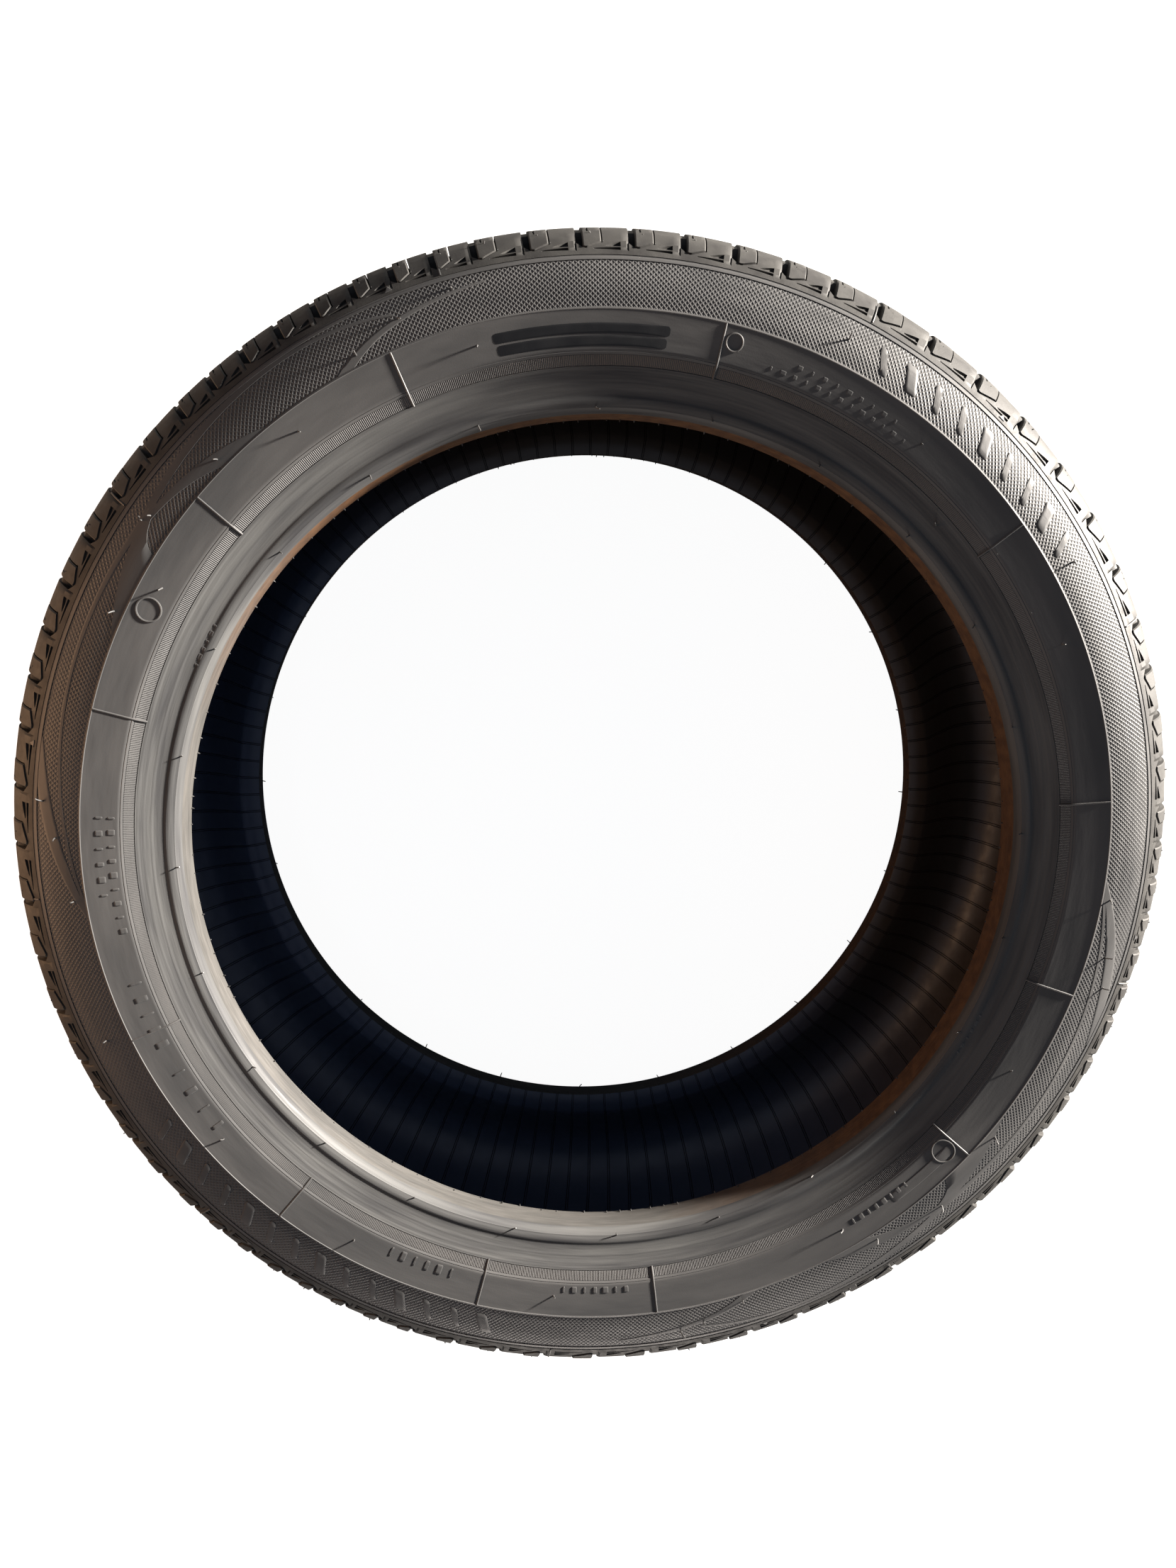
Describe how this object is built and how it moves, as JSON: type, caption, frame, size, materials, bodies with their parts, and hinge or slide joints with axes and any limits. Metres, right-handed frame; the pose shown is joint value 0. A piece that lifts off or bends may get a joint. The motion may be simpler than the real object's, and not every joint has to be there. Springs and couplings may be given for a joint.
{
  "type": "car tyre",
  "caption": "Low-profile passenger-car tyre off its wheel, one rubber piece lying on its sidewall, with bead seats, grooved tread and ribboned sidewalls.",
  "frame": {"origin": "middle of the tyre, on the wheel axis and midway between its two sidewalls", "axes": "+Z along the wheel axis, out of the sidewall that the picture shows; +X to the right and +Y up in the picture"},
  "size_m": [0.6509, 0.651, 0.2142],
  "materials": {
    "tyre_rubber": "satin"
  },
  "bodies": {
    "root": {"tyre": "tyre_rubber"}
  },
  "joints": []
}
